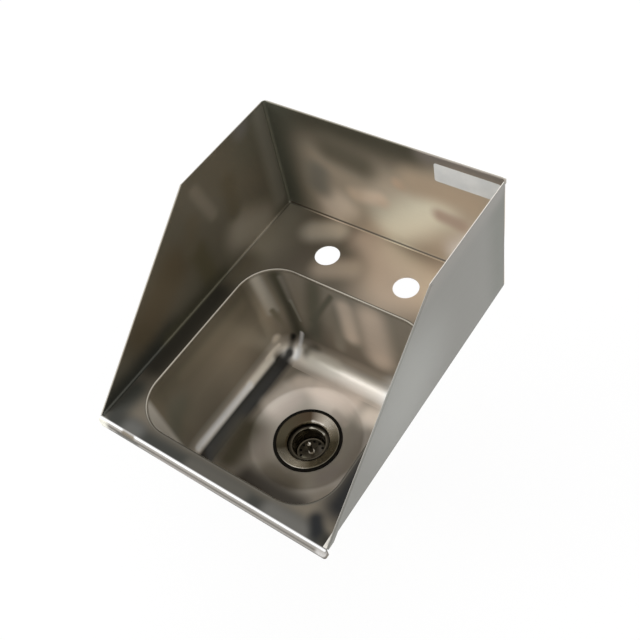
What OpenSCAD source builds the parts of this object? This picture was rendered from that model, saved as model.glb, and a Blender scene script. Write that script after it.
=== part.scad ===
// Drop-in sink: a pressed bowl welded into a deck with a rolled front edge, a back splash and two
// side splashes, and a basket strainer with its tailpiece.
// The origin is on the bowl's axis at the counter's surface, +Z is up and the front faces -Y.

/* [Bowl] */
// Width of the bowl at the deck
bowl_w = 228.6; // [190:0.1:290]
// Length of the bowl at the deck, front to back
bowl_l = 228.6; // [190:0.1:290]
// Depth of the bowl below the deck's top
bowl_depth = 127; // [90:0.1:155]
// Radius of the four upright corners at the deck
bowl_corner_r = 44.45; // [34:0.05:55]
// Slope of the walls
bowl_draft = 9; // [2:0.1:12]
// Flat left in a corner of the floor, from the corner's axis to the fillet
corner_land = 3.84; // [1:0.01:8]
// Radius of the rim
bowl_rim_r = 2.5; // [1.5:0.1:4]
// Distance from the wall to the weld round the rim
rim_land = 4; // [3:0.1:7]
// Sheet thickness of the bowl
bowl_t = 1; // [0.7:0.1:1.3]
// Slope of the floor down to the drain pocket
floor_slope = 16.16; // [6:0.01:18]

/* [Deck] */
// Deck on each side of the bowl, out to the side splash
side_land = 24.7; // [12:0.1:60]
// Deck between the bowl and the front roll
front_land = 15.9; // [8:0.1:60]
// Ledge between the back splash and the bowl
ledge_l = 88.9; // [66:0.1:150]
// Sheet thickness of the deck and the splashes
sheet_t = 1.2; // [0.9:0.1:1.5]
// Radius of the front roll
roll_r = 6.35; // [5:0.05:8]
// Height of the front roll
roll_h = 12.4; // [10:0.1:25]
// Radius of the edge below the front roll
roll_edge_r = 3; // [2:0.1:4]
// Radius of the front roll's two ends, seen from above
roll_end_r = 3; // [1:0.1:5]

/* [Splashes] */
// Height of the splashes above the deck
splash_h = 148.7; // [80:0.1:240]
// Length of the side splashes' level top edge
splash_top_l = 136.5; // [60:0.1:220]
// Width of the folded hems
hem_w = 6.4; // [4:0.1:12]
// Radius of the cove where a splash meets the deck
cove_r = 2.4; // [1.6:0.1:3]
// Length of a splash's foot, from its face to the weld on the deck
foot_l = 3.2; // [3:0.1:6]

/* [Faucet holes] */
// Diameter of the two holes
faucet_d = 28.6; // [20:0.1:40]
// Distance between their centres
faucet_gap = 101.6; // [60:0.1:180]
// Distance from the bowl to their centres
faucet_to_bowl = 38.1; // [25:0.1:50]

/* [Strainer body] */
// Diameter of the bore
bore_d = 40.2; // [34:0.1:48]
// Wall of the body, over the thread
body_t = 3.4; // [2.6:0.1:4]
// Width of the ledge that the basket sits on
ledge_w = 3.1; // [2.6:0.1:3.6]
// Thickness of that ledge
ledge_t = 1.5; // [1:0.1:2]
// Depth from the mouth's edge to the ledge
mouth_h = 4.8; // [4.1:0.1:7]
// Radius between the mouth and the flange
mouth_edge_r = 5; // [2:0.1:5.6]
// Width of the flange, from the mouth to its edge
flange_w = 13.3; // [10:0.1:16]
// Thickness of the flange
flange_t = 1.5; // [1:0.1:1.8]
// Length of the body below the crossbar
body_tail = 5.5; // [4:0.1:30]
// Width of the stopper's seat, inside the bore
seat_w = 5.8; // [4:0.1:7]
// Thickness of the stopper's seat
seat_t = 2.5; // [2:0.1:4]
// Slope of the drain pocket and the flange
pocket_a = 19; // [18:0.5:24]
// Gap between the body and the hole in the bowl
drain_gap = 1.3; // [1:0.1:3]

/* [Basket] */
// Gap between the basket's rim and the mouth
basket_gap = 1.9; // [1.2:0.1:2.3]
// Distance from the bore to the inside of the basket's wall
basket_wall_gap = 1.1; // [1:0.1:2]
// Depth of the basket
basket_h = 20.6; // [17:0.1:26]
// Sheet thickness of the basket
basket_t = 0.8; // [0.5:0.1:1]
// Diameter of the round holes in the basket's floor
basket_hole_d = 3.1; // [2:0.1:3.8]
// Diameter of the post
post_d = 4; // [3:0.1:5]
// Diameter of the knob
knob_d = 6; // [5.6:0.1:9]
// Height of the knob's top above the basket's floor
knob_top_h = 19; // [14:0.1:24]
// Overlap of the rubber stopper on its seat
stopper_lap = 2.3; // [1:0.1:4]
// Thickness of the rubber stopper
stopper_t = 3; // [2:0.1:5]

/* [Tailpiece] */
// Distance from the bore to the outside of the tailpiece
tail_step = 1.05; // [0.5:0.05:2]
// Length of the tailpiece
tail_l = 101.6; // [60:0.1:200]
// Wall of the tailpiece
tail_t = 0.85; // [0.5:0.05:1.2]

/* [Hidden] */
$fn = 72;

// Overrun of a cut past the faces that it opens
cut = 1;
// Radial play of a part that turns or slides on another
play = 0.05;
// Largest turn between two points of an arc
arc_step = 9;

// Places in the deck's plane
inner_w = bowl_w + 2 * side_land;
sink_w = inner_w + 2 * sheet_t;
deck_l = ledge_l + bowl_l + front_land;
back_y = ledge_l + bowl_l / 2;
front_y = back_y - deck_l;
faucet_y = ledge_l - faucet_to_bowl;
deck_top = sheet_t;
splash_top = deck_top + splash_h;

// The sloped edge of a side splash, from its tip at the front to the level edge
slope_l = deck_l - splash_top_l;
slope_a = atan(splash_h / slope_l);
slope_edge_l = norm([slope_l, splash_h]);
hem_lap = sheet_t / 2;

// Visible face of the front roll, from the deck forwards and back below it
roll_under_z = deck_top - roll_h;
roll_points = [[roll_r, deck_top], [roll_r, roll_under_z], [0, roll_under_z]];
roll_radii = [roll_r, roll_edge_r, 0];

// Levels of the bowl
floor_z = deck_top - bowl_depth;
floor_corner_r = bowl_corner_r - bowl_depth * tan(bowl_draft);
bowl_fillet_r = (floor_corner_r - corner_land) / tan((90 - bowl_draft) / 2);
half_floor_w = bowl_w / 2 - bowl_corner_r;
half_floor_l = bowl_l / 2 - bowl_corner_r;
dish_margin = 2;
dish_r = min(half_floor_w, half_floor_l) - dish_margin;
dish_land = 3;
dish_edge_r = 20;
pocket_edge_r = 6;

// Diameters of the strainer body, and of the hole that it goes through
thread_d = bore_d + 2 * body_t;
mouth_d = bore_d + 2 * ledge_w;
flange_d = mouth_d + 2 * flange_w;
seat_d = bore_d - 2 * seat_w;
collar_out_d = mouth_d + 2 * flange_t;
drain_d = collar_out_d + 2 * drain_gap;

// Rings between the strainer and the bowl
gasket_t = 1.2;
gasket_proud = 3.2;
gasket_step = 1;
gasket_d = flange_d + 2 * gasket_proud;
gasket_hole_d = drain_d + 2 * gasket_step;
pocket_gap = 0.3;
pocket_r = gasket_d / 2 + pocket_gap;
pocket_z = floor_z - (dish_r - dish_land - pocket_r) * tan(floor_slope);
seal_t = 3;
seal_w = 11;
seal_d = drain_d + 2 * seal_w;
ring_gap = 0.4;
ring_hole_d = collar_out_d + 2 * ring_gap;
friction_t = 1;
friction_step = 2;
friction_d = seal_d - 2 * friction_step;

// Diameters of the basket
basket_d = mouth_d - 2 * basket_gap;
basket_wall_d = bore_d - 2 * basket_wall_gap;
stopper_d = seat_d + 2 * stopper_lap;

// Levels of the strainer and the basket
stack_t = gasket_t + flange_t;
flange_edge_z = cone_z(flange_d / 2, stack_t);
mouth_z = cone_z(mouth_d / 2, stack_t);
ledge_z = mouth_z - mouth_h;
basket_rim_z = ledge_z + basket_t;
basket_floor_z = basket_rim_z - basket_h;
basket_under_z = basket_floor_z - basket_t;
basket_draft = 3;
basket_fillet_r = 2.4;
basket_rim_under_r = 0.2;
basket_rim_r = basket_t + basket_rim_under_r;

// Post stack below the basket
washer_t = 1;
washer_d = 12;
plate_t = 1;
plate_d = 24;
clip_t = 0.8;
clip_d = 8.4;
plate_z = basket_under_z - washer_t;
stopper_z = plate_z - plate_t;
seat_z = stopper_z - stopper_t;
stopper_edge_r = 0.6;
cross_z = seat_z - seat_t;

// Crossbar in the outlet
cross_h = 5;
cross_ring_t = 1.8;
cross_arm_w = 2.6;
cross_arms = 4;
hub_d = 9.5;
socket_play = 0.1;
post_end_h = 1;
post_tip_l = 1.5;
body_end_z = cross_z - cross_h - body_tail;
collar_d = 7;
collar_t = 1.2;
knob_h = 4.4;
knob_edge_r = 1.3;
neck_t = 0.5;
neck_d = post_d + 2 * neck_t;
knob_wall = 1.4;

// Holes, bars and slots of the basket
hole_groups = 3;
hole_phase = 80;
hole_step = 30;
hole_ring_r = 13;
bar_w = 1.6;
bar_h = 0.5;
bar_root_h = basket_t / 2;
bar_in_r = 4.2;
bar_out_r = 10.4;
slot_groups = 4;
slot_phase = 85;
slot_w = 1.8;
slot_l = 12;
slot_gap = 5.6;
slot_top_h = 9;
slot_rows = 2;

// Locknut under the bowl
nut_h = 9;
nut_t = 4.7;
nut_d = thread_d + 2 * nut_t;
nut_step = 1;
nut_base_d = friction_d - 2 * nut_step;
nut_base_t = 2;
nut_lugs = 8;
nut_lug_w = 5.5;
nut_lug_d = nut_base_d - 2 * nut_step;
nut_edge = 1;

// Joint between the strainer and the tailpiece
tail_d = bore_d - 2 * tail_step;
tail_washer_t = 2;
tail_washer_w = 4.8;
tail_washer_gap = 0.5;
tail_washer_d = thread_d - 2 * tail_washer_gap;
tail_washer_hole_d = tail_washer_d - 2 * tail_washer_w;
tail_flange_gap = 0.8;
tail_flange_d = thread_d - 2 * tail_flange_gap;
tail_bend_r = 2;
tail_top_z = body_end_z - tail_washer_t;
coupling_t = 4.7;
coupling_flats = thread_d + 2 * coupling_t;
coupling_grip_h = 12;
coupling_lip_t = 2.6;
coupling_lip_gap = 1.65;
coupling_lip_d = tail_d + 2 * coupling_lip_gap;
coupling_edge = 1.6;

// Height of the pocket's cone at radius r, and of a layer that far above it
function cone_z(r, above) = pocket_z - (pocket_r - r) * tan(pocket_a) + above / cos(pocket_a);

// Direction from one point to another
function heading(from, to) = atan2(to[1] - from[1], to[0] - from[0]);

// How far the line of points turns at point i, positive to the left
function turn_at(points, i) =
    let (turn = heading(points[i], points[i + 1]) - heading(points[i - 1], points[i]))
    turn > 180 ? turn - 360 : turn < -180 ? turn + 360 : turn;

// Points of an arc, with its ends
function arc_points(centre, r, from, turn) =
    let (steps = ceil(abs(turn) / arc_step))
    [for (k = [0 : steps]) let (a = from + turn * k / steps) centre + r * [cos(a), sin(a)]];

// Points of the bend at point i, on the face that lies at a depth below the visible one
function bend_points(points, radii, depth, i) =
    let (
        h = heading(points[i - 1], points[i]),
        turn = turn_at(points, i),
        side = sign(turn),
        back = radii[i] * tan(abs(turn) / 2),
        centre = points[i] - back * [cos(h), sin(h)] + side * radii[i] * [-sin(h), cos(h)]
    )
    arc_points(centre, radii[i] + side * depth, h - side * 90, turn);

// Points of one face of a sheet that is bent along a line of points
function face_points(points, radii, depth) =
    let (
        last = len(points) - 1,
        h_first = heading(points[0], points[1]),
        h_last = heading(points[last - 1], points[last])
    )
    [
        points[0] + depth * [sin(h_first), -cos(h_first)],
        for (i = [1 : 1 : last - 1]) each bend_points(points, radii, depth, i),
        points[last] + depth * [sin(h_last), -cos(h_last)]
    ];

// Outline of a sheet whose visible face follows a line of points, with the given radii on that face.
// The sheet lies to the right of the way that the points run, and its last edge can be round.
function sheet_points(points, radii, t, round_edge = false) =
    let (
        last = len(points) - 1,
        h = heading(points[last - 1], points[last]),
        hidden = face_points(points, radii, t)
    )
    [
        each face_points(points, radii, 0),
        if (round_edge) each arc_points(points[last] + t / 2 * [sin(h), -cos(h)], t / 2, h + 90, -180),
        for (i = [len(hidden) - 1 : -1 : 0]) hidden[i]
    ];

module bent_sheet(points, radii, t, round_edge = false) {
    polygon(sheet_points(points, radii, t, round_edge));
}

// Outline of a rectangle with round corners, centred
module rounded_rect(w, l, r) {
    square([w - 2 * r, l], center = true);
    square([w, l - 2 * r], center = true);
    for (x = [-1, 1], y = [-1, 1])
        translate([x * (w / 2 - r), y * (l / 2 - r)])
            circle(r = r);
}

// Outline of a slot with round ends, centred, with its length along X
module slot_outline(l, w) {
    square([l - w, w], center = true);
    for (x = [-1, 1])
        translate([x * (l - w) / 2, 0])
            circle(d = w);
}

// Disc with round edges, standing on Z = 0
module rounded_disc(d, h, edge_r) {
    rotate_extrude() {
        square([d / 2 - edge_r, h]);
        translate([0, edge_r])
            square([d / 2, h - 2 * edge_r]);
        for (z = [edge_r, h - edge_r])
            translate([d / 2 - edge_r, z])
                circle(r = edge_r);
    }
}

// Flat ring, standing on Z = 0
module ring(d, hole, h) {
    linear_extrude(h)
        difference() {
            circle(d = d);
            circle(d = hole);
        }
}

// Sheet folded back flat on itself: the edge is at the origin and the fold lies towards +X
module hem() {
    translate([0, -hem_w])
        square([2 * sheet_t, hem_w - sheet_t]);
    translate([sheet_t, -sheet_t])
        circle(r = sheet_t);
}

// Section of a splash on its coved foot, with its face at X = face
module splash_section(face, top) {
    bent_sheet([[face - foot_l, deck_top], [face, deck_top], [face, top]], [0, cove_r, 0], sheet_t);
}

// Section of the deck with its front roll, forwards along +X from the end of the deck
module deck_section() {
    bent_sheet([[foot_l - deck_l, deck_top], each roll_points], [0, each roll_radii], sheet_t);
}

// Closed outline of the front roll, for its end plates
module roll_end() {
    polygon(face_points([[0, deck_top], each roll_points], [0, each roll_radii], 0));
}

// Front roll's outline seen from above, with its two round ends
module roll_plan() {
    half_w = sink_w / 2;
    translate([-half_w, front_y - roll_r + roll_end_r])
        square([sink_w, roll_r - roll_end_r]);
    translate([-half_w + roll_end_r, front_y - roll_r])
        square([sink_w - 2 * roll_end_r, roll_r]);
    for (x = [-1, 1])
        translate([x * (half_w - roll_end_r), front_y - roll_r + roll_end_r])
            circle(r = roll_end_r);
}

// Deck seen from above, with the openings for the bowl and the faucet
module deck_plan() {
    opening = 2 * rim_land;
    difference() {
        union() {
            roll_plan();
            translate([-inner_w / 2 + foot_l, front_y - roll_r])
                square([inner_w - 2 * foot_l, roll_r + deck_l - foot_l]);
        }
        rounded_rect(bowl_w + opening, bowl_l + opening, bowl_corner_r + rim_land);
        for (x = [-1, 1])
            translate([x * faucet_gap / 2, back_y - faucet_y])
                circle(d = faucet_d);
    }
}

module deck() {
    color([0.66, 0.61, 0.55])
        intersection() {
            translate([-sink_w / 2, front_y, 0])
                rotate([90, 0, 90]) {
                    linear_extrude(sink_w)
                        mirror([1, 0])
                            deck_section();
                    for (x = [0, sink_w - sheet_t])
                        translate([0, 0, x])
                            linear_extrude(sheet_t)
                                mirror([1, 0])
                                    roll_end();
                }
            translate([0, 0, roll_under_z])
                linear_extrude(roll_h)
                    deck_plan();
        }
}

// Section of the bowl outwards from a corner's axis: floor, fillet, wall, rim and land
module bowl_section() {
    bent_sheet(
        [
            [0, floor_z],
            [floor_corner_r, floor_z],
            [bowl_corner_r, deck_top],
            [bowl_corner_r + rim_land, deck_top]
        ],
        [0, bowl_fillet_r, bowl_rim_r, 0],
        bowl_t
    );
}

module bowl_corners() {
    for (x = [0, 1], y = [0, 1])
        mirror([x, 0, 0])
            mirror([0, y, 0])
                translate([half_floor_w, half_floor_l, 0])
                    rotate_extrude(angle = 90)
                        bowl_section();
}

module bowl_walls() {
    for (side = [0, 1]) {
        mirror([side, 0, 0])
            translate([half_floor_w, half_floor_l, 0])
                rotate([90, 0, 0])
                    linear_extrude(2 * half_floor_l)
                        bowl_section();
        mirror([0, side, 0])
            translate([-half_floor_w, half_floor_l, 0])
                rotate([90, 0, 90])
                    linear_extrude(2 * half_floor_w)
                        bowl_section();
    }
}

// Floor that falls to the drain, with the conical pocket and its hole
module bowl_floor() {
    translate([0, 0, floor_z - bowl_t])
        linear_extrude(bowl_t)
            difference() {
                square([2 * half_floor_w, 2 * half_floor_l], center = true);
                circle(r = dish_r);
            }
    rotate_extrude()
        bent_sheet(
            [
                [drain_d / 2, cone_z(drain_d / 2, 0)],
                [pocket_r, pocket_z],
                [dish_r - dish_land, floor_z],
                [dish_r, floor_z]
            ],
            [0, pocket_edge_r, dish_edge_r, 0],
            bowl_t
        );
}

module bowl() {
    color([0.63, 0.58, 0.52]) {
        bowl_corners();
        bowl_walls();
        bowl_floor();
    }
}

// Right half of the back splash's corner, turned forwards to meet the side splash
module splash_corner() {
    translate([inner_w / 2 - foot_l, back_y - foot_l, 0])
        rotate_extrude(angle = 90)
            splash_section(foot_l, splash_top);
    translate([inner_w / 2 - foot_l, back_y + hem_lap, splash_top - hem_w])
        cube([foot_l, 2 * sheet_t - hem_lap, hem_w - sheet_t]);
}

module back_splash() {
    color([0.69, 0.63, 0.55]) {
        translate([-inner_w / 2 + foot_l, back_y, 0])
            rotate([90, 0, 90])
                linear_extrude(inner_w - 2 * foot_l) {
                    splash_section(0, splash_top - sheet_t);
                    translate([0, splash_top])
                        hem();
                }
        for (side = [0, 1])
            mirror([side, 0, 0])
                splash_corner();
    }
}

// Side of a splash seen along X, less the room that the fold takes at the sloped edge
module side_outline() {
    level_y = back_y - splash_top_l;
    fold_y = sheet_t * sin(slope_a);
    fold_z = sheet_t * cos(slope_a);
    polygon([
        [front_y, 0],
        [front_y, deck_top],
        [front_y + sheet_t / sin(slope_a), deck_top],
        [level_y + fold_y, splash_top - fold_z],
        [level_y, splash_top],
        [back_y - foot_l, splash_top],
        [back_y - foot_l, 0]
    ]);
}

module side_splash() {
    intersection() {
        translate([inner_w / 2, back_y - foot_l, 0])
            rotate([90, 0, 0])
                linear_extrude(deck_l - foot_l)
                    splash_section(0, splash_top);
        translate([inner_w / 2 - foot_l, 0, 0])
            rotate([90, 0, 90])
                linear_extrude(foot_l + sheet_t)
                    side_outline();
    }
    intersection() {
        translate([inner_w / 2, front_y, deck_top])
            rotate([slope_a, 0, 0])
                translate([0, slope_edge_l, 0])
                    rotate([90, 0, 0])
                        linear_extrude(slope_edge_l)
                            hem();
        translate([inner_w / 2, front_y, 0])
            cube([2 * sheet_t, deck_l, splash_top]);
    }
}

module right_splash() {
    color([0.58, 0.57, 0.54])
        side_splash();
}

module left_splash() {
    color([0.36, 0.34, 0.29])
        mirror([1, 0, 0])
            side_splash();
}

module flange_gasket() {
    color([0.08, 0.08, 0.08])
        rotate_extrude()
            bent_sheet(
                [
                    [gasket_hole_d / 2, cone_z(gasket_hole_d / 2, gasket_t)],
                    [gasket_d / 2, cone_z(gasket_d / 2, gasket_t)]
                ],
                [0, 0],
                gasket_t
            );
}

// Section of the body: tube, stopper's seat, ledge for the basket, mouth and flange with a round edge
module body_section() {
    bore_r = bore_d / 2;
    thread_r = thread_d / 2;
    edge_r = (flange_d - flange_t - flange_t * sin(pocket_a)) / 2;
    mouth = [mouth_d / 2, ledge_z];
    flange = sheet_points(
        [mouth, [mouth_d / 2, mouth_z], [edge_r, cone_z(edge_r, stack_t)]],
        [0, mouth_edge_r, 0],
        flange_t,
        round_edge = true
    );
    polygon([
        [bore_r, body_end_z],
        [bore_r, cross_z],
        [seat_d / 2, cross_z],
        [seat_d / 2, seat_z],
        [bore_r, seat_z],
        [bore_r, ledge_z],
        each flange,
        [collar_out_d / 2, ledge_z - ledge_t],
        [thread_r, ledge_z - ledge_t],
        [thread_r, body_end_z]
    ]);
}

module strainer_body() {
    color([0.70, 0.66, 0.60])
        rotate_extrude()
            body_section();
}

// Ring, arms and hub that carry the foot of the post
module outlet_cross() {
    ring_d = bore_d - 2 * play;
    color([0.62, 0.60, 0.57])
        translate([0, 0, cross_z - cross_h])
            linear_extrude(cross_h)
                difference() {
                    union() {
                        difference() {
                            circle(d = ring_d);
                            circle(d = ring_d - 2 * cross_ring_t);
                        }
                        circle(d = hub_d);
                        for (i = [0 : cross_arms - 1])
                            rotate(i * 360 / cross_arms)
                                translate([0, -cross_arm_w / 2])
                                    square([(ring_d - cross_ring_t) / 2, cross_arm_w]);
                    }
                    circle(d = post_d + 2 * socket_play);
                }
}

// Rubber ring under the bowl: its top follows the pocket and its base is flat
module bowl_gasket() {
    in_r = ring_hole_d / 2;
    out_r = seal_d / 2;
    in_z = cone_z(in_r, -bowl_t);
    color([0.10, 0.10, 0.10])
        rotate_extrude()
            polygon([
                [in_r, in_z - seal_t],
                [out_r, in_z - seal_t],
                [out_r, cone_z(out_r, -bowl_t)],
                [in_r, in_z]
            ]);
}

friction_z = cone_z(ring_hole_d / 2, -bowl_t) - seal_t - friction_t;

module friction_ring() {
    color([0.72, 0.60, 0.42])
        translate([0, 0, friction_z])
            ring(friction_d, ring_hole_d, friction_t);
}

// Round nut with square lugs, chamfered below, on a flat base that faces up
module locknut() {
    hole_d = thread_d + 2 * play;
    lug_r = nut_lug_d / 2;
    lug_h = nut_h - nut_base_t;
    color([0.55, 0.54, 0.52])
        translate([0, 0, friction_z - nut_h]) {
            intersection() {
                linear_extrude(lug_h)
                    difference() {
                        union() {
                            circle(d = nut_d);
                            for (i = [0 : nut_lugs - 1])
                                rotate(i * 360 / nut_lugs)
                                    translate([0, -nut_lug_w / 2])
                                        square([lug_r + cut, nut_lug_w]);
                        }
                        circle(d = hole_d);
                    }
                rotate_extrude()
                    polygon([[0, 0], [lug_r - nut_edge, 0], [lug_r, nut_edge], [lug_r, lug_h], [0, lug_h]]);
            }
            translate([0, 0, lug_h])
                ring(nut_base_d, hole_d, nut_base_t);
        }
}

module tailpiece_washer() {
    color([0.86, 0.85, 0.80])
        translate([0, 0, tail_top_z])
            ring(tail_washer_d, tail_washer_hole_d, tail_washer_t);
}

module tailpiece() {
    bore_r = tail_d / 2 - tail_t;
    color([0.78, 0.77, 0.75])
        rotate_extrude()
            bent_sheet(
                [[bore_r, tail_top_z - tail_l], [bore_r, tail_top_z], [tail_flange_d / 2, tail_top_z]],
                [0, tail_bend_r, 0],
                tail_t
            );
}

// Eight-sided slip nut with chamfered ends and an inward lip under the tailpiece's flange
module coupling_nut() {
    lip_z = tail_top_z - tail_t;
    h = coupling_lip_t + tail_t + tail_washer_t + coupling_grip_h;
    corner_r = coupling_flats / 2 / cos(180 / 8);
    color([0.74, 0.73, 0.71])
        translate([0, 0, lip_z - coupling_lip_t])
            difference() {
                intersection() {
                    cylinder(r = corner_r, h = h, $fn = 8);
                    rotate_extrude()
                        polygon([
                            [0, 0],
                            [corner_r - coupling_edge, 0],
                            [corner_r, coupling_edge],
                            [corner_r, h - coupling_edge],
                            [corner_r - coupling_edge, h],
                            [0, h]
                        ]);
                }
                translate([0, 0, -cut])
                    cylinder(d = coupling_lip_d, h = h + 2 * cut);
                translate([0, 0, coupling_lip_t])
                    cylinder(d = thread_d + 2 * play, h = h);
            }
}

// Section of the basket outwards from the post: floor, fillet, wall and rim
module basket_section() {
    wall_r = basket_wall_d / 2;
    foot_r = wall_r - basket_h * tan(basket_draft);
    post_hole_r = post_d / 2 + play;
    bent_sheet(
        [
            [post_hole_r, basket_floor_z],
            [foot_r, basket_floor_z],
            [wall_r, basket_rim_z],
            [basket_d / 2, basket_rim_z]
        ],
        [0, basket_fillet_r, basket_rim_r, 0],
        basket_t
    );
}

// Three groups of three round holes through the floor
module basket_holes() {
    for (group = [0 : hole_groups - 1], i = [-1 : 1])
        rotate(hole_phase + group * 360 / hole_groups + i * hole_step)
            translate([hole_ring_r, 0, basket_under_z - cut])
                cylinder(d = basket_hole_d, h = basket_t + 2 * cut);
}

// Rows of level slots through the wall
module basket_slots() {
    for (group = [0 : slot_groups - 1], row = [0 : slot_rows - 1])
        rotate(slot_phase + group * 360 / slot_groups)
            translate([basket_wall_d / 4, 0, basket_rim_z - slot_top_h - row * slot_gap])
                rotate([90, 0, 90])
                    linear_extrude(basket_d / 2)
                        slot_outline(slot_l, slot_w);
}

// Short bars pressed up from the floor beside the post
module basket_bars() {
    for (group = [0 : hole_groups - 1])
        rotate(hole_phase + group * 360 / hole_groups)
            translate([(bar_in_r + bar_out_r) / 2, 0, basket_floor_z - bar_root_h])
                linear_extrude(bar_root_h + bar_h)
                    slot_outline(bar_out_r - bar_in_r, bar_w);
}

module basket_cup() {
    color([0.42, 0.38, 0.34]) {
        difference() {
            rotate_extrude()
                basket_section();
            basket_holes();
            basket_slots();
        }
        basket_bars();
    }
}

// Post with the collar that bears on the basket's floor and a tapered foot
module basket_post() {
    end_z = cross_z - cross_h + post_end_h;
    top_z = basket_floor_z + knob_top_h - knob_wall;
    color([0.66, 0.64, 0.60]) {
        translate([0, 0, end_z])
            cylinder(d1 = post_d / 2, d2 = post_d, h = post_tip_l);
        translate([0, 0, end_z + post_tip_l])
            cylinder(d = post_d, h = top_z - end_z - post_tip_l);
        translate([0, 0, basket_floor_z])
            cylinder(d = collar_d, h = collar_t);
    }
}

module basket_knob() {
    neck_z = basket_floor_z + collar_t;
    head_z = basket_floor_z + knob_top_h - knob_h;
    color([0.72, 0.68, 0.60])
        difference() {
            union() {
                translate([0, 0, neck_z])
                    cylinder(d = neck_d, h = head_z - neck_z + knob_edge_r);
                translate([0, 0, head_z])
                    rounded_disc(knob_d, knob_h, knob_edge_r);
            }
            translate([0, 0, neck_z - cut])
                cylinder(d = post_d + 2 * play, h = knob_top_h - knob_wall - collar_t + cut);
        }
}

module post_washer() {
    color([0.66, 0.64, 0.60])
        translate([0, 0, plate_z])
            ring(washer_d, post_d + 2 * play, washer_t);
}

module stopper_plate() {
    color([0.70, 0.68, 0.64])
        translate([0, 0, stopper_z])
            ring(plate_d, post_d + 2 * play, plate_t);
}

module stopper() {
    color([0.09, 0.09, 0.09])
        translate([0, 0, seat_z])
            difference() {
                rounded_disc(stopper_d, stopper_t, stopper_edge_r);
                translate([0, 0, -cut])
                    cylinder(d = post_d + 2 * play, h = stopper_t + 2 * cut);
            }
}

module post_clip() {
    color([0.60, 0.60, 0.58])
        translate([0, 0, seat_z - clip_t])
            ring(clip_d, post_d + 2 * play, clip_t);
}

deck();
bowl();
back_splash();
left_splash();
right_splash();
strainer_body();
outlet_cross();
flange_gasket();
bowl_gasket();
friction_ring();
locknut();
tailpiece_washer();
tailpiece();
coupling_nut();
basket_cup();
basket_post();
basket_knob();
post_washer();
post_clip();
stopper();
stopper_plate();
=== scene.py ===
import math

import bmesh
import bpy
from mathutils import Matrix, Vector


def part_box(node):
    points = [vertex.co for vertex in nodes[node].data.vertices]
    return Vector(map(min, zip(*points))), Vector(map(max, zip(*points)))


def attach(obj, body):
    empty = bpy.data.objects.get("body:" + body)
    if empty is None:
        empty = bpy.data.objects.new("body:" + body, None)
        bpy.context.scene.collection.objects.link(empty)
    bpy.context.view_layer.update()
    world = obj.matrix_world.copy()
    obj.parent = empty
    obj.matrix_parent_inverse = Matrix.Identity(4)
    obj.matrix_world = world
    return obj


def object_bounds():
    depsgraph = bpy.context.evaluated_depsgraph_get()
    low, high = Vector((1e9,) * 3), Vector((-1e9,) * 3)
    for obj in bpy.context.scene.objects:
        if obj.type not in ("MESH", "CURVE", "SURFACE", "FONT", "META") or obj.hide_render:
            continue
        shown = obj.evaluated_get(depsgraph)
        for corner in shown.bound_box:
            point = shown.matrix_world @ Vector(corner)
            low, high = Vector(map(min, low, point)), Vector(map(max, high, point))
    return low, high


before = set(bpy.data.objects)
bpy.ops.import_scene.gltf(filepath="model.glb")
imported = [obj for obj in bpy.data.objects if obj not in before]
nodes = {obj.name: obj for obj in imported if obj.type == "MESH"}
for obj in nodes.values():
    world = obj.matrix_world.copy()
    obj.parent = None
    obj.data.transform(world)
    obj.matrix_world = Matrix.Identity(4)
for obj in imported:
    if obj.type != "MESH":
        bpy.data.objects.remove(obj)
cadLow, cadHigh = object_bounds()
mm = 0.001
print("frame:", len(nodes), "nodes")


# A Wire is one socket of a material; sums and products of wires add the nodes for them
class Wire:
    def __init__(self, finish, socket):
        self.finish = finish
        self.socket = socket

    def math(self, operation, *terms):
        return self.finish.add("ShaderNodeMath", {"operation": operation}, dict(enumerate(terms)))

    def __add__(self, other):
        return self.math("ADD", self, other)

    def __radd__(self, other):
        return self.math("ADD", other, self)

    def __sub__(self, other):
        return self.math("SUBTRACT", self, other)

    def __mul__(self, other):
        return self.math("MULTIPLY", self, other)

    def __truediv__(self, other):
        return self.math("DIVIDE", self, other)

    def __neg__(self):
        return self.math("MULTIPLY", self, -1)

    def __abs__(self):
        return self.math("ABSOLUTE", self)


# A node tree under construction, with one method for every node
class Network:
    def __init__(self, tree):
        self.tree = tree
        self.tree.nodes.clear()

    def add(self, kind, settings=None, values=None, output=0):
        node = self.tree.nodes.new(kind)
        for key, value in (settings or {}).items():
            setattr(node, key, value)
        for key, value in (values or {}).items():
            self.feed(node.inputs[key], value)
        return Wire(self, node.outputs[output]) if len(node.outputs) else None

    def feed(self, socket, value):
        if isinstance(value, Wire):
            self.tree.links.new(value.socket, socket)
        elif isinstance(value, tuple):
            socket.default_value = value[: len(socket.default_value)]
        else:
            socket.default_value = value

    def vector(self, operation, *terms, output=0, **named):
        values = {**dict(enumerate(terms)), **named}
        return self.add("ShaderNodeVectorMath", {"operation": operation}, values, output)

    def mix(self, mask, first, second):
        return self.add("ShaderNodeMix", {"data_type": "RGBA"}, {0: mask, 6: first, 7: second}, 2)

    def remap(self, value, low, high, toLow=0.0, toHigh=1.0, curve="SMOOTHSTEP"):
        spans = {
            "Value": value,
            "From Min": low,
            "From Max": high,
            "To Min": toLow,
            "To Max": toHigh,
        }
        return self.add("ShaderNodeMapRange", {"interpolation_type": curve}, spans)


# Layers of finer noise on the first one
plainDetail = 2.0
fineDetail = 3.0
richDetail = 4.0


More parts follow.
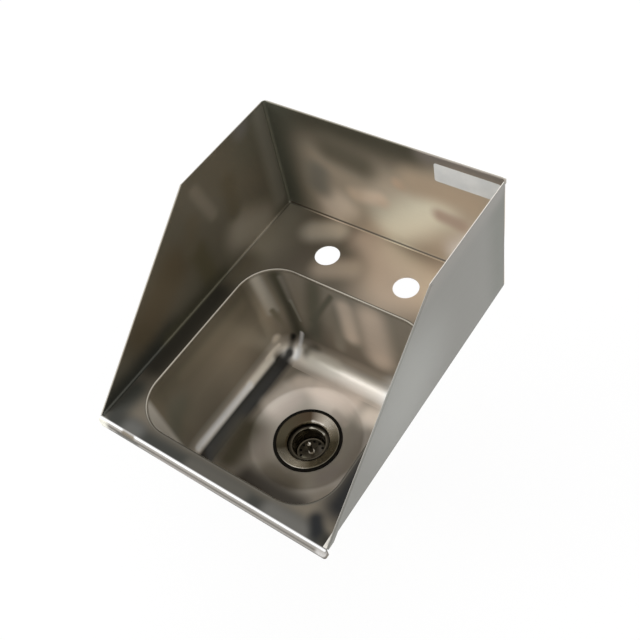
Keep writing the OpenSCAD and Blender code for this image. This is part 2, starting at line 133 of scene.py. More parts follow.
# One finish of the sink; its look table gives lengths in millimetres
class Finish(Network):
    def __init__(self, name):
        self.material = bpy.data.materials.new(name)
        self.material.use_nodes = True
        super().__init__(self.material.node_tree)
        metres = self.add("ShaderNodeTexCoord", output="Object")
        self.place = self.vector("SCALE", metres, Scale=1 / mm)

    def axis(self, index):
        return self.add("ShaderNodeSeparateXYZ", None, {0: self.place}, index)

    def noise(self, size, detail=plainDetail, place=None):
        values = {"Vector": place or self.place, "Scale": 1 / size, "Detail": detail}
        return self.add("ShaderNodeTexNoise", None, values)

    # Colours in turn along a value: each stop is a place on it and a tone
    def bands(self, value, stops):
        first, last = stops[0][0], stops[-1][0]
        share = self.remap(value, first, last, curve="LINEAR")
        ramp = self.add("ShaderNodeValToRGB", None, {0: share})
        elements = ramp.socket.node.color_ramp.elements
        while len(elements) < len(stops):
            elements.new(1)
        for element, (position, code) in zip(elements, stops):
            element.position = (position - first) / (last - first)
            element.color = tone(code)
        return ramp

    # Soft mask: 1 on the line from start to end, 0 beyond its reach
    def touch(self, start, end, reach):
        first = Vector(start)
        run = Vector(end) - first
        offset = self.vector("SUBTRACT", self.place, tuple(first))
        if run.length > 0:
            along = self.vector("DOT_PRODUCT", offset, tuple(run / run.length_squared), output=1)
            along = self.remap(along, 0.0, 1.0, curve="LINEAR")
            offset = self.vector("SUBTRACT", offset, self.vector("SCALE", tuple(run), Scale=along))
        distance = self.vector("LENGTH", offset, output=1)
        return self.remap(distance, reach, 0.0, curve="SMOOTHERSTEP")

    # Painted reflections, highlights and shade laid over a colour one after another: start, end,
    # reach, tone
    def reflections(self, colour, paintedLight):
        for start, end, reach, code in paintedLight:
            colour = self.mix(self.touch(start, end, reach), colour, tone(code))
        return colour

    def surface(self, **values):
        shader = self.add("ShaderNodeBsdfPrincipled", None, values)
        self.add("ShaderNodeOutputMaterial", None, {0: shader})
        return self.material


# Linear colour of a hex code, which is given as a screen shows it
def tone(code):
    parts = [int(code[i : i + 2], 16) / 255 for i in (0, 2, 4)]
    levels = [c / 12.92 if c <= 0.04045 else ((c + 0.055) / 1.055) ** 2.4 for c in parts]
    return (*levels, 1.0)


# Camera: where the photographer stood, from the fit of the measured points
cameraView = {
    "place": (0.40072, -0.31455, 0.71684),
    "azimuth": 46.380,
    "elevation": 51.786,
    "roll": 15.092,
    "focalPixels": 868.96,
    "framePixels": 640,
    "sensor": 36.0,
}


def makeCamera(look):
    azimuth, elevation, roll = (math.radians(look[key]) for key in ("azimuth", "elevation", "roll"))
    forward = Vector((
        -math.sin(azimuth) * math.cos(elevation),
        math.cos(azimuth) * math.cos(elevation),
        -math.sin(elevation),
    ))
    levelRight = forward.cross(Vector((0, 0, 1))).normalized()
    levelUp = levelRight.cross(forward)
    up = levelUp * math.cos(roll) + levelRight * math.sin(roll)
    right = forward.cross(up)
    data = bpy.data.cameras.new("photoCamera")
    data.sensor_width = look["sensor"]
    data.lens = look["focalPixels"] / look["framePixels"] * look["sensor"]
    camera = bpy.data.objects.new("photoCamera", data)
    bpy.context.scene.collection.objects.link(camera)
    turn = Matrix((right, up, -forward)).transposed()
    camera.matrix_world = Matrix.Translation(look["place"]) @ turn.to_4x4()
    bpy.context.scene.camera = camera


makeCamera(cameraView)
print("camera placed")

# Studio: white all round, a plain level of soft light, and a pale floor that keeps a faint shadow
studio = {
    "skyLight": 0.95,
    "floorSize": 30.0,
    "floorTone": "f7f7f7",
    "floorWhite": 0.86,
    "lamps": [
        {"name": "leftSoftbox", "place": (-1.9, -1.7, 1.5), "size": 1.6, "power": 17},
        {"name": "rightSoftbox", "place": (2.2, -0.4, 1.9), "size": 1.8, "power": 12},
        {"name": "backSoftbox", "place": (-0.6, 2.3, 1.7), "size": 1.8, "power": 10},
    ],
}


# Rays that see the ground round the object as plain white
def whiteRays(network, *kinds):
    seen = 0.0
    for kind in kinds:
        ray = network.add("ShaderNodeLightPath", output=kind)
        seen = ray.math("MAXIMUM", ray, seen)
    return seen


def makeWorld(look):
    world = bpy.data.worlds.new("studioWorld")
    world.use_nodes = True
    network = Network(world.node_tree)
    seen = whiteRays(network, "Is Camera Ray", "Is Glossy Ray", "Is Transmission Ray")
    level = network.remap(seen, 0.0, 1.0, look["skyLight"], 1.0, "LINEAR")
    sky = network.add("ShaderNodeBackground", None, {"Color": tone("ffffff"), "Strength": level})
    network.add("ShaderNodeOutputWorld", None, {0: sky})
    bpy.context.scene.world = world


def makeLamp(name, place, size, power):
    data = bpy.data.lights.new(name, "AREA")
    data.shape = "SQUARE"
    data.size = size
    data.energy = power
    lamp = bpy.data.objects.new(name, data)
    bpy.context.scene.collection.objects.link(lamp)
    lamp.location = place
    lamp.rotation_mode = "QUATERNION"
    lamp.rotation_quaternion = (-Vector(place)).to_track_quat("-Z", "Y")


def makeFloor(look):
    half = look["floorSize"] / 2
    corners = [(-half, -half, 0), (half, -half, 0), (half, half, 0), (-half, half, 0)]
    mesh = bpy.data.meshes.new("studioFloor")
    mesh.from_pydata(corners, [], [range(len(corners))])
    floor = bpy.data.objects.new("studioFloor", mesh)
    bpy.context.scene.collection.objects.link(floor)
    floor.location.z = cadLow.z
    finish = Finish("paleFloor")
    matte = finish.add("ShaderNodeBsdfDiffuse", None, {"Color": tone(look["floorTone"])})
    white = finish.add("ShaderNodeEmission", None, {"Color": tone("ffffff"), "Strength": 1.0})
    share = whiteRays(finish, "Is Camera Ray", "Is Transmission Ray") * look["floorWhite"]
    mixed = finish.add("ShaderNodeMixShader", None, {0: share, 1: matte, 2: white})
    finish.add("ShaderNodeOutputMaterial", None, {0: mixed})
    mesh.materials.append(finish.material)


makeWorld(studio)
for lamp in studio["lamps"]:
    makeLamp(**lamp)
makeFloor(studio)
print("studio lit")


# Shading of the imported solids: their vertices stay, and modifiers give them one smooth surface
shading = {
    "weldDistance": 1e-6,
    "sharpDegrees": 27,
    "faceWeight": 80,
}


def makeShadingTree(look):
    tree = bpy.data.node_groups.new("smoothSheet", "GeometryNodeTree")
    tree.interface.new_socket("Geometry", in_out="INPUT", socket_type="NodeSocketGeometry")
    tree.interface.new_socket("Geometry", in_out="OUTPUT", socket_type="NodeSocketGeometry")
    network = Network(tree)
    entry = network.add("NodeGroupInput")
    welded = {"Geometry": entry, "Distance": look["weldDistance"]}
    weld = network.add("GeometryNodeMergeByDistance", None, welded)
    faces = network.add("GeometryNodeSetShadeSmooth", {"domain": "FACE"}, {"Geometry": weld})
    angle = network.add("GeometryNodeInputMeshEdgeAngle")
    settings = {"data_type": "FLOAT", "operation": "GREATER_THAN"}
    limit = math.radians(look["sharpDegrees"])
    steep = network.add("FunctionNodeCompare", settings, {0: angle, 1: limit})
    values = {"Geometry": faces, "Selection": steep, "Shade Smooth": False}
    edges = network.add("GeometryNodeSetShadeSmooth", {"domain": "EDGE"}, values)
    network.add("NodeGroupOutput", None, {0: edges})
    return tree


def smoothShading(piece, tree, look):
    smooth = piece.modifiers.new("smoothSheet", "NODES")
    smooth.node_group = tree
    weights = piece.modifiers.new("faceWeights", "WEIGHTED_NORMAL")
    weights.keep_sharp = True
    weights.weight = look["faceWeight"]


shadingTree = makeShadingTree(shading)
for node in nodes.values():
    smoothShading(node, shadingTree, shading)
print("shading set")


def dress(piece, material):
    piece.data.materials.clear()
    piece.data.materials.append(material)


# Satin sheet: fine brush lines along one way, slight clouds, and a roughness that follows the lines
satin = {
    "brushStretch": (0.04, 1.0, 1.0),
    "brushSize": 0.7,
    "brushDepth": 0.07,
    "cloudSize": 38.0,
    "cloudDepth": 0.06,
    "roughness": 0.36,
    "roughnessSpan": 0.12,
    "bumpHeight": 0.00002,
    "bumpStrength": 0.25,
    "metallic": 0.5,
}


def satinSteel(finish, colour, changes=None):
    look = {**satin, **(changes or {})}
    stretched = finish.vector("MULTIPLY", finish.place, look["brushStretch"])
    lines = finish.noise(look["brushSize"], fineDetail, stretched)
    cloud = finish.noise(look["cloudSize"])
    level = 1 + (lines - 0.5) * look["brushDepth"] + (cloud - 0.5) * look["cloudDepth"]
    height = {"Strength": look["bumpStrength"], "Distance": look["bumpHeight"], "Height": lines}
    return finish.surface(**{
        "Base Color": finish.vector("SCALE", colour, Scale=level),
        "Metallic": look["metallic"],
        "Roughness": look["roughness"] + (lines - 0.5) * look["roughnessSpan"],
        "Normal": finish.add("ShaderNodeBump", None, height),
    })


# Side of a sheet with painted reflections and shade, and a plain tone on its other side
def paintSheet(name, look):
    finish = Finish(name)
    colour = finish.reflections(tone(look["ground"]), look["paintedLight"])
    index, painted, plain = look["turnsOver"]
    over = finish.remap(finish.axis(index), painted, plain)
    return satinSteel(finish, finish.mix(over, colour, tone(look["otherSide"])), look["satin"])


# Left splash: painted reflections on its inside, olive brown, with a warm glow in the middle, a
# grey streak high up, and painted shade at the dark foot
leftSplashLook = {
    "ground": "635e50",
    "paintedLight": [
        ((-139, 165, 120), (-139, 180, 145), 50, "646153"),
        ((-139, 190, 20), (-139, 192, 140), 22, "827e71"),
        ((-139, 150, 12), (-139, 120, 30), 45, "999284"),
        ((-139, -44, 40), (-139, 16, 72), 52, "5b513e"),
        ((-139, 58, 10), (-139, 55, 62), 26, "58533f"),
        ((-139, 48, 75), (-139, 62, 100), 20, "635c4b"),
        ((-139, 118, 66), (-139, 122, 102), 22, "5e5847"),
        ((-139, 78, 130), (-139, 90, 86), 14, "787163"),
        ((-139, 160, 146), (-139, 162, 146), 22, "716e67"),
        ((-139, -125, 2), (-139, -20, 2), 34, "393932"),
        ((-139, -20, 2), (-139, 70, 2), 24, "4d4a3b"),
    ],
    "turnsOver": (0, -139.4, -139.8),
    "otherSide": "a8a297",
    "satin": {"brushStretch": (1.0, 0.04, 1.0)},
}

# Back splash: painted reflections, beige, with a dark band under its top edge, a dark left side,
# two soft blotches and a painted dark line in the cove at its foot
backSplashLook = {
    "ground": "ccbda8",
    "paintedLight": [
        ((10, 203, 30), (60, 203, 75), 50, "fcf9e4"),
        ((100, 203, 20), (135, 203, 60), 45, "fcfcfc"),
        ((-72, 203, 18), (-60, 203, 30), 36, "fbebd8"),
        ((-138, 203, 150), (30, 203, 150), 72, "5b5749"),
        ((60, 203, 152), (138, 203, 152), 30, "8c847c"),
        ((-137, 203, 15), (-137, 203, 150), 62, "606053"),
        ((20, 203, 95), (22, 203, 95), 14, "dbc2a8"),
        ((-60, 203, 112), (-25, 203, 104), 38, "7b7464"),
        ((40, 203, 104), (100, 203, 108), 36, "d2bea5"),
        ((-88, 203, 50), (-85, 203, 70), 30, "a09a8d"),
        ((-38, 203, 55), (-6, 203, 61), 20, "efdac2"),
        ((68, 203, 70), (90, 203, 67), 18, "c8b3a2"),
        ((-139, 202.6, 1.6), (139, 202.6, 1.6), 1.9, "3a3024"),
    ],
    "turnsOver": (1, 203.6, 204.0),
    "otherSide": "aaa498",
    "satin": {},
}

# Right splash: its outer side is a painted cool grey reflection, lighter in the middle, darker
# towards the back, warmer near the top
rightSplashLook = {
    "ground": "797872",
    "paintedLight": [
        ((140, 10, 50), (140, 20, 60), 105, "91918c"),
        ((140, 195, 20), (140, 195, 140), 45, "696a62"),
        ((140, 60, 148), (140, 190, 148), 26, "827f79"),
    ],
    "turnsOver": (0, 139.8, 139.4),
    "otherSide": "dcd8d0",
    "satin": {"brushStretch": (1.0, 0.04, 1.0)},
}

for name, look in (("left", leftSplashLook), ("back", backSplashLook), ("right", rightSplashLook)):
    dress(nodes[name + "_splash"], paintSheet(name + "SplashSteel", look))
print("splashes painted")

# Deck: painted reflections, a warm ledge at the back, dark beside the bowl, grey in front, and a
# painted highlight as a bright line on the roll
deckLook = {
    "opening": 118.0,
    "weldSteps": 8,
    "ground": "6d6558",
    "paintedLight": [
        ((40, 150, 1), (135, 185, 1), 75, "d0bda9"),
        ((-20, 195, 1), (40, 160, 1), 40, "c3b2a1"),
        ((-138, 200, 1), (-130, 140, 1), 62, "8f8878"),
        ((-128, 100, 1), (-128, 70, 1), 34, "665f4f"),
        ((-128, 50, 1), (-128, -55, 1), 34, "37342c"),
        ((-128, -90, 1), (-128, -118, 1), 26, "40403a"),
        ((-85, 176, 1), (-62, 188, 1), 28, "c6bcab"),
        ((-45, 135, 1), (-15, 148, 1), 26, "b0a18f"),
        ((128, 60, 1), (128, -90, 1), 30, "121212"),
        ((-124, -128, 1), (124, -128, 1), 22, "353530"),
        ((-102, -127, 1), (-96, -127, 1), 20, "5d5c58"),
        ((75, -127, 1), (112, -127, 1), 18, "62605b"),
        ((116, -112, 1), (124, -122, 1), 14, "121416"),
        ((134, -124, 1), (137, -127, 1), 12, "292721"),
        ((-20, -127, 1), (40, -127, 1), 16, "535049"),
        ((-139, -137, -4), (139, -137, -4), 4.2, "97928b"),
        ((-139, -137, -9), (139, -137, -9), 4.2, "2f281f"),
        ((-112, -136.6, -5), (-88, -136.6, -5), 7, "4e4c45"),
        ((-60, -136.6, -6), (0, -136.6, -6), 6, "8c857f"),
        ((-139, -134.6, -0.2), (139, -134.6, -0.2), 2.4, "97928b"),
        ((-139, -132.2, 1.1), (139, -132.2, 1.1), 2.2, "fcfcfc"),
        ((-106, -133.8, 0), (-94, -133.8, 0), 5, "6d6558"),
        ((-139, -136, -4), (-133, -136, -4), 10, "f0eee1"),
        ((134, -135, -3), (139, -135, -3), 6, "ccc9c6"),
    ],
    "satin": {"brushDepth": 0.06},
}


# Whether a mark of the deck reaches the bowl's opening, tried at even steps along the mark
def nearWeld(look, mark):
    start, end, reach = Vector(mark[0]), Vector(mark[1]), mark[2]
    count = look["weldSteps"]
    steps = [start + (end - start) * step / count for step in range(count + 1)]
    return any(max(abs(place.x), abs(place.y)) < look["opening"] + reach for place in steps)


weldPaintedLight = [mark for mark in deckLook["paintedLight"] if nearWeld(deckLook, mark)]
deckFinish = Finish("deckSteel")
deckTone = deckFinish.reflections(tone(deckLook["ground"]), deckLook["paintedLight"])
dress(nodes["deck"], satinSteel(deckFinish, deckTone, deckLook["satin"]))
print("deck painted")

# Bowl: painted reflections as light and dark bands on its left and back sides, by the way up from
# the floor, and on the dish
bowlLook = {
    "ground": "767066",
    "straight": 69.85,
    "floorLevel": -125.8,
    "leftBands": [
        (0, "8a8276"), (9, "262420"), (26, "262420"), (36, "d2cabd"),
        (42, "cdc5b8"), (58, "8f8778"), (100, "968c7a"), (160, "6a6353"),
    ],
    "backBands": [
        (0, "b5ab9f"), (14, "f6eee2"), (28, "fcf6ec"), (44, "a89f92"),
        (60, "7a7266"), (106, "a89e8e"), (162, "a59c8e"),
    ],
    "dishEdge": (74, 58),
    "dishGround": "a39c90",
    "dishPaintedLight": [
        ((-10, 55, -128), (15, 55, -128), 32, "d9cdc0"),
        ((-52, 15, -128), (-45, 38, -128), 26, "c2b6ab"),
        ((-50, -20, -128), (-38, -42, -128), 28, "82796e"),
        ((-15, -55, -128), (15, -58, -128), 28, "736b5e"),
        ((48, 30, -128), (55, 5, -128), 26, "999288"),
        ((45, -30, -128), (50, -20, -128), 26, "978f88"),
        ((8, 44, -130), (26, 38, -130), 9, "b8ada1"),
    ],
    "paintedLight": [
        ((-25, 62, -126), (20, 64, -126), 26, "f1e1d2"),
        ((48, 58, -126), (62, 60, -126), 26, "eee1d2"),
        ((-62, 16, -126), (-56, 42, -126), 20, "d6ccc0"),
        ((-48, 56, -126), (-40, 60, -126), 20, "e7d9cb"),
        ((60, -56, -126), (64, -50, -126), 24, "7e7568"),
        ((-66, -25, -126), (-62, -64, -126), 30, "4a4434"),
        ((-30, -74, -126), (40, -74, -126), 26, "3a342b"),
        ((64, 30, -127), (68, -25, -127), 22, "8c847a"),
        ((-107, 60, -25), (-108, -40, -25), 18, "817866"),
        ((-101, -70, -50), (-102, -90, -60), 36, "7f7c6d"),
        ((-94, 62, -115), (-95, 20, -115), 9, "f7f2e7"),
        ((-94, 20, -115), (-95, -78, -113), 8, "fcfcfc"),
        ((-12, 112, -10), (-14, 102, -85), 14, "9d9688"),
        ((-45, 110, -8), (-50, 104, -85), 22, "7b7869"),
        ((-50, 98, -108), (-60, 92, -118), 14, "6a6459"),
        ((-22, 112, -12), (-51, 104, -63), 7, "767365"),
        ((-92, 104, -6), (-72, 98, -92), 16, "545243"),
        ((-107, 90, -4), (-98, 91, -57), 12, "c1bbae"),
        ((-98, 91, -57), (-80, 92, -100), 7, "867f6d"),
        ((-87, 108.7, -10), (-79, 106, -44), 7, "918b7f"),
        ((-79, 106, -44), (-69, 103, -72), 4, "9f9c8f"),
        ((70, 92, -117), (82, 92, -115), 38, "fcfcfc"),
        ((-50, 88, -120), (-22, 89, -120), 20, "e9e4d8"),
        ((30, 111, -20), (40, 105, -70), 34, "f3e1ce"),
        ((-5, 111, -20), (4, 106, -60), 20, "ecdcca"),
        ((-82.5, 64, -124), (-82, 82, -121.5), 9, "1f1d19"),
        ((-82, 82, -121.5), (-81, 96.5, -101), 7.5, "211f1a"),
        ((-96, 58, -112), (-92.5, 80, -109.5), 5, "f4ece0"),
        ((-73, 91, -117.5), (-72.2, 83, -123.5), 8, "f3f3f2"),
        ((-69, 99.5, -93), (-73, 94.5, -113), 5, "fcfbfb"),
        ((-95.8, 82, -98), (-96, 80, -100), 9, "d8cfc0"),
    ],
    "farSides": "dad5cb",
    "farEdge": (88, 97),
    "cornerBlend": 0.001,
    # Painted highlight in bands along the rim, and painted shade where the rim faces front and
    # right
    "rimBands": [
        (43.6, "5a5145"), (44.8, "5f5849"), (45.4, "b9b2a5"),
        (45.9, "b9b2a5"), (46.5, "4a4439"), (47.4, "4a4439"),
    ],
    "rimTurn": (-70, 60),
    "rimShade": "5b574e",
    "rimTop": (1.0, 0.6),
    "outside": "9f998d",
    "satin": {"brushStretch": (0.05, 0.05, 1.0), "brushDepth": 0.08, "roughness": 0.32},
}


# Way out from the square between the four corners' centres; it is 0 inside that square
def outward(x, y, straight):
    pastX = x.math("MAXIMUM", abs(x) - straight, 0)
    pastY = y.math("MAXIMUM", abs(y) - straight, 0)
    return x.math("SQRT", pastX * pastX + pastY * pastY)


def bowlSteel(look):
    finish = Finish("bowlSteel")
    x, y, z = (finish.axis(index) for index in range(3))
    pastLeft = x.math("MAXIMUM", -x - look["straight"], 0)
    pastBack = y.math("MAXIMUM", y - look["straight"], 0)
    rise = z.math("MAXIMUM", z - look["floorLevel"], 0)
    climb = x.math("SQRT", pastLeft * pastLeft + pastBack * pastBack) + rise
    pastBoth = pastLeft + pastBack + look["cornerBlend"]
    backShare = finish.remap(pastBack / pastBoth, 0.0, 1.0)
    left = finish.bands(climb, look["leftBands"])
    back = finish.bands(climb, look["backBands"])
    dish = finish.reflections(tone(look["dishGround"]), look["dishPaintedLight"])
    dishShare = finish.remap(x.math("SQRT", x * x + y * y), *look["dishEdge"])
    colour = finish.mix(dishShare, finish.mix(backShare, left, back), dish)
    colour = finish.reflections(colour, look["paintedLight"])
    far = finish.remap(x.math("MAXIMUM", x, -y), *look["farEdge"])
    colour = finish.mix(far, colour, tone(look["farSides"]))
    out = outward(x, y, look["straight"])
    edges = [stop[0] for stop in look["rimBands"]]
    rim = finish.bands(out, look["rimBands"])
    lit = finish.mix(finish.remap(y - x, *look["rimTurn"]), tone(look["rimShade"]), rim)
    colour = finish.mix(finish.remap(out, edges[0], edges[1]), colour, lit)
    # The deck's painted reflections near the opening run on over the land
    land = finish.reflections(tone(deckLook["ground"]), weldPaintedLight)  # the weld is ground flush
    colour = finish.mix(finish.remap(out, edges[-2], edges[-1]), colour, land)
    normal = finish.add("ShaderNodeTexCoord", output="Normal")
    facing = finish.vector("DOT_PRODUCT", normal, finish.place, output=1)
    under = finish.remap(facing, -1, 1) * finish.remap(z, *look["rimTop"])
    return satinSteel(finish, finish.mix(under, colour, tone(look["outside"])), look["satin"])


dress(nodes["bowl"], bowlSteel(bowlLook))
print("bowl painted")

# Turned and pressed metal round the drain's axis: fine rings, with painted sectors of light by
# angle, painted highlights and shade, and painted shade down in the mouth
def turnedMetal(name, look):
    finish = Finish(name)
    x, y = finish.axis(0), finish.axis(1)
    radius = x.math("SQRT", x * x + y * y)
    spread = {"W": radius, "Scale": 1 / look["ringSize"]}
    rings = finish.add("ShaderNodeTexNoise", {"noise_dimensions": "1D"}, spread)
    wear = finish.noise(look["wearSize"], richDetail)
    colour = tone(look["ground"])
    if "sectors" in look:
        colour = finish.bands(y.math("ARCTAN2", y, x) * (180 / math.pi), look["sectors"])
    colour = finish.reflections(colour, look.get("paintedLight", []))
    if "mouthShade" in look:
        top, bottom, code = look["mouthShade"]
        colour = finish.mix(finish.remap(finish.axis(2), top, bottom), colour, tone(code))
    level = 1 + (rings - 0.5) * look["ringDepth"] + (wear - 0.5) * look["wearDepth"]
    height = {"Strength": look["bumpStrength"], "Distance": look["bumpHeight"], "Height": rings}
    return finish.surface(**{
        "Base Color": finish.vector("SCALE", colour, Scale=level),
        "Metallic": 1.0,
        "Roughness": look["roughness"] + (wear - 0.5) * look["roughnessSpan"],
        "Normal": finish.add("ShaderNodeBump", None, height),
    })


turned = {
    "ground": "a8a296",
    "ringSize": 0.35,
    "ringDepth": 0.12,
    "wearSize": 6.0,
    "wearDepth": 0.10,
    "roughness": 0.26,
    "roughnessSpan": 0.10,
    "bumpStrength": 0.3,
    "bumpHeight": 0.00002,
}

# Strainer flange: painted fans of light on a turned face, by the angle from +X, painted highlights,
# and a mouth in painted shade
strainerLook = {
    **turned,
    "sectors": [
        (-180, "4a4436"), (-135, "4a4436"), (-78, "ece6da"), (-50, "7a7465"), (25, "6a6658"),
        (64, "dcd5c8"), (90, "a89e90"), (118, "463a2d"), (180, "4a4436"),
    ],
    "paintedLight": [
        ((-9, 23, -135), (3, 24.5, -135), 4, "dbd5cc"),
        ((-16, 17, -138), (-12, 20, -137), 5, "7c755f"),
    ],
    "mouthShade": (-134.6, -138.2, "38332a"),
}

# Basket: painted shade inside, with a painted light crescent on the floor and a painted glint along
# the wall's top
basketLook = {
    **turned,
    "ground": "544e43",
    "ringSize": 0.8,
    "paintedLight": [
        ((-7, -3, -160.5), (4, 7, -160.5), 13, "39342b"),
        ((-14, 8, -146), (-10, -12, -150), 9, "c2b9a0"),
        ((8, 14, -150), (15, 4, -158), 7, "fcfcfc"),
        ((6, 10, -160.5), (14, 2, -160.5), 6, "534e46"),
        ((-4, -12, -160.5), (6, -13, -160.5), 5, "8d8876"),
        ((-8, 17, -141), (8, 17, -141), 4, "fcf8eb"),
    ],
    "wearDepth": 0.2,
}

postLook = {**turned, "ground": "b5aea2", "roughness": 0.2}
# Knob: a painted highlight on its top
knobLook = {
    **turned,
    "ground": "8a8377",
    "paintedLight": [((-1, 1.5, -141.6), (0.5, 0.5, -141.4), 1.6, "f4efe6")],
    "roughness": 0.12,
}
crossLook = {**turned, "ground": "9c968b", "wearDepth": 0.16, "roughness": 0.32}
washerLook = {**turned, "ground": "aaa499", "ringSize": 0.6}
clipLook = {**turned, "ground": "98948c", "ringSize": 0.5}
plateLook = {**turned, "ground": "b0aaa0", "ringSize": 0.9}
tailpieceLook = {
    **turned,
    "ground": "c8c6c2",
    "ringSize": 2.0,
    "ringDepth": 0.03,
    "wearSize": 14.0,
    "wearDepth": 0.05,
    "roughness": 0.09,
    "roughnessSpan": 0.06,
}
couplingLook = {**tailpieceLook, "ground": "bebcb7", "wearSize": 5.0, "roughness": 0.14}
turnedPieces = {
    "strainer_body": ("strainerSteel", strainerLook),
    "basket_cup": ("basketSteel", basketLook),
    "basket_post": ("postSteel", postLook),
    "basket_knob": ("knobSteel", knobLook),
    "outlet_cross": ("crossbarSteel", crossLook),
    "post_washer": ("postWasherSteel", washerLook),
    "post_clip": ("postClipSteel", clipLook),
    "stopper_plate": ("stopperPlateSteel", plateLook),
    "tailpiece": ("tailpieceChrome", tailpieceLook),
    "coupling_nut": ("couplingChrome", couplingLook),
}
for name, (title, look) in turnedPieces.items():
    dress(nodes[name], turnedMetal(title, look))
print("strainer and basket finished")


# Rubber, fibre, cast metal, plastic and paper: a mottled colour, a grain and a bump
mottleSpan = (0.35, 0.65)


def mottled(name, look):
    finish = Finish(name)
    mottle = finish.noise(look["mottleSize"], richDetail)
    grain = finish.noise(look["grainSize"], fineDetail)
    share = finish.remap(mottle, *mottleSpan)
    colour = finish.mix(share, tone(look["dark"]), tone(look["light"]))
    level = 1 + (grain - 0.5) * look["grainDepth"]
    height = {"Strength": look["bumpStrength"], "Distance": look["bumpHeight"], "Height": grain}
    return finish.surface(**{
        "Base Color": finish.vector("SCALE", colour, Scale=level),
        "Metallic": look.get("metallic", 0.0),
        "Specular IOR Level": look.get("specular", 0.5),
        "Roughness": look["roughness"] + (mottle - 0.5) * look["roughnessSpan"],
        "Normal": finish.add("ShaderNodeBump", None, height),
    })


rubber = {
    "dark": "0e0c08",
    "light": "1a1712",
    "mottleSize": 5.0,
    "grainSize": 0.5,
    "grainDepth": 0.5,
    "bumpStrength": 0.5,
    "bumpHeight": 0.00004,
    "roughness": 0.7,
    "roughnessSpan": 0.2,
    "specular": 0.12,
}
seatRubber = {**rubber, "dark": "161615", "light": "232220"}
stopperRubber = {**rubber, "dark": "131211", "light": "201e1c", "roughness": 0.5}
fibre = {
    "dark": "a98c60",
    "light": "c6a878",
    "mottleSize": 3.0,
    "grainSize": 0.4,
    "grainDepth": 0.5,
    "bumpStrength": 0.6,
    "bumpHeight": 0.00006,
    "roughness": 0.85,
    "roughnessSpan": 0.1,
}
castMetal = {
    "dark": "8d8b86",
    "light": "a5a39d",
    "mottleSize": 7.0,
    "grainSize": 0.6,
    "grainDepth": 0.25,
    "bumpStrength": 0.7,
    "bumpHeight": 0.0001,
    "roughness": 0.5,
    "roughnessSpan": 0.2,
    "metallic": 0.85,
}
washerPlastic = {
    "dark": "d8d5c8",
    "light": "e4e1d5",
    "mottleSize": 8.0,
    "grainSize": 0.8,
    "grainDepth": 0.05,
    "bumpStrength": 0.2,
    "bumpHeight": 0.00003,
    "roughness": 0.4,
    "roughnessSpan": 0.1,
}
mottledPieces = {
    "flange_gasket": ("flangeGasketRubber", rubber),
    "bowl_gasket": ("bowlGasketRubber", seatRubber),
    "stopper": ("stopperRubber", stopperRubber),
    "friction_ring": ("fibreRing", fibre),
    "locknut": ("castLocknut", castMetal),
    "tailpiece_washer": ("washerPlastic", washerPlastic),
}
for name, (title, look) in mottledPieces.items():
    dress(nodes[name], mottled(title, look))
print("gaskets and nuts finished")


def addPiece(name, mesh, body, material):
    piece = bpy.data.objects.new(name, bpy.data.meshes.new(name))
    mesh.normal_update()
    mesh.to_mesh(piece.data)
    mesh.free()
    for face in piece.data.polygons:
        face.use_smooth = True
    bpy.context.scene.collection.objects.link(piece)
    dress(piece, material)
    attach(piece, body)
    return piece


# Blank label near the back splash's right top corner
labelLook = {
    "wall": 203.2,
    "left": 64.3,
    "right": 134.7,
    "bottom": 118.0,
    "top": 141.0,
    "cornerRadius": 2.4,
    "cornerSteps": 6,
    "thickness": 0.12,
    "dark": "d0d1cf",
    "light": "dcdcd9",
    "mottleSize": 30.0,
    "grainSize": 0.25,
    "grainDepth": 0.06,
    "bumpStrength": 0.3,
    "bumpHeight": 0.00002,
    "roughness": 0.45,
    "roughnessSpan": 0.1,
}


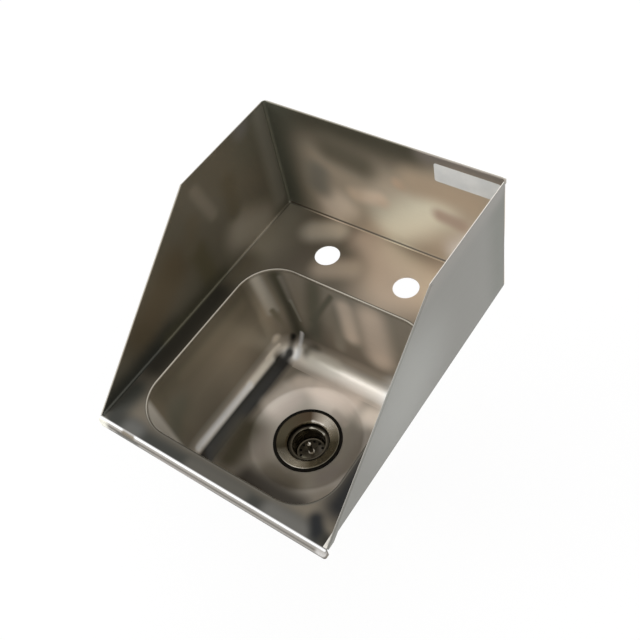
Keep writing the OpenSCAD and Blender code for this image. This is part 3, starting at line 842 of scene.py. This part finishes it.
def makeLabel(look):
    wall = look["wall"]
    face = wall - look["thickness"]
    radius = look["cornerRadius"]
    corners = [
        (look["right"] - radius, look["top"] - radius, 0),
        (look["left"] + radius, look["top"] - radius, 90),
        (look["left"] + radius, look["bottom"] + radius, 180),
        (look["right"] - radius, look["bottom"] + radius, 270),
    ]
    outline = []
    for x, z, start in corners:
        for step in range(look["cornerSteps"] + 1):
            turn = math.radians(start + 90 * step / look["cornerSteps"])
            outline.append((x + radius * math.cos(turn), z + radius * math.sin(turn)))
    mesh = bmesh.new()
    front = [mesh.verts.new((x * mm, face * mm, z * mm)) for x, z in outline]
    back = [mesh.verts.new((x * mm, wall * mm, z * mm)) for x, z in outline]
    mesh.faces.new(front)
    mesh.faces.new(list(reversed(back)))
    for i in range(len(outline)):
        j = (i + 1) % len(outline)
        mesh.faces.new((front[j], front[i], back[i], back[j]))
    return mesh


label = addPiece("blankLabel", makeLabel(labelLook), "sink", mottled("labelPaper", labelLook))
for face in label.data.polygons:
    face.use_smooth = False
print("label placed")

# Thread of the strainer body between its two nuts; its profile is in shares of ridge and pitch
threadLook = {
    "radius": 23.45,
    "ridge": 0.55,
    "pitch": 1.8,
    "profile": [(0.0, 0.0), (1.0, 0.3), (1.0, 0.45), (0.0, 0.75)],
    "turnSteps": 48,
    "taperTurns": 0.25,
    "gap": 0.4,
}


def makeThread(look):
    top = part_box("locknut")[0].z / mm - look["gap"]
    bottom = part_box("coupling_nut")[1].z / mm + look["gap"]
    turns = (top - bottom - look["pitch"]) / look["pitch"]
    steps = int(turns * look["turnSteps"])
    profile = [(look["ridge"] * out, look["pitch"] * up) for out, up in look["profile"]]
    mesh = bmesh.new()
    rows = []
    for step in range(steps + 1):
        turn = 2 * math.pi * step / look["turnSteps"]
        taper = min(1.0, min(step, steps - step) / look["turnSteps"] / look["taperTurns"])
        rise = bottom + look["pitch"] * step / look["turnSteps"]
        row = []
        for out, up in profile:
            radius = look["radius"] + out * taper
            across, along = radius * math.cos(turn), radius * math.sin(turn)
            row.append(mesh.verts.new((across * mm, along * mm, (rise + up) * mm)))
        rows.append(row)
    for low, high in zip(rows, rows[1:]):
        for i in range(len(profile) - 1):
            mesh.faces.new((low[i], high[i], high[i + 1], low[i + 1]))
    return mesh


threadSteel = turnedMetal("threadSteel", {**turned, "ground": "9d978b"})
addPiece("bodyThread", makeThread(threadLook), "sink", threadSteel)
print("thread cut")

view = bpy.context.scene.view_settings
view.view_transform = "Standard"
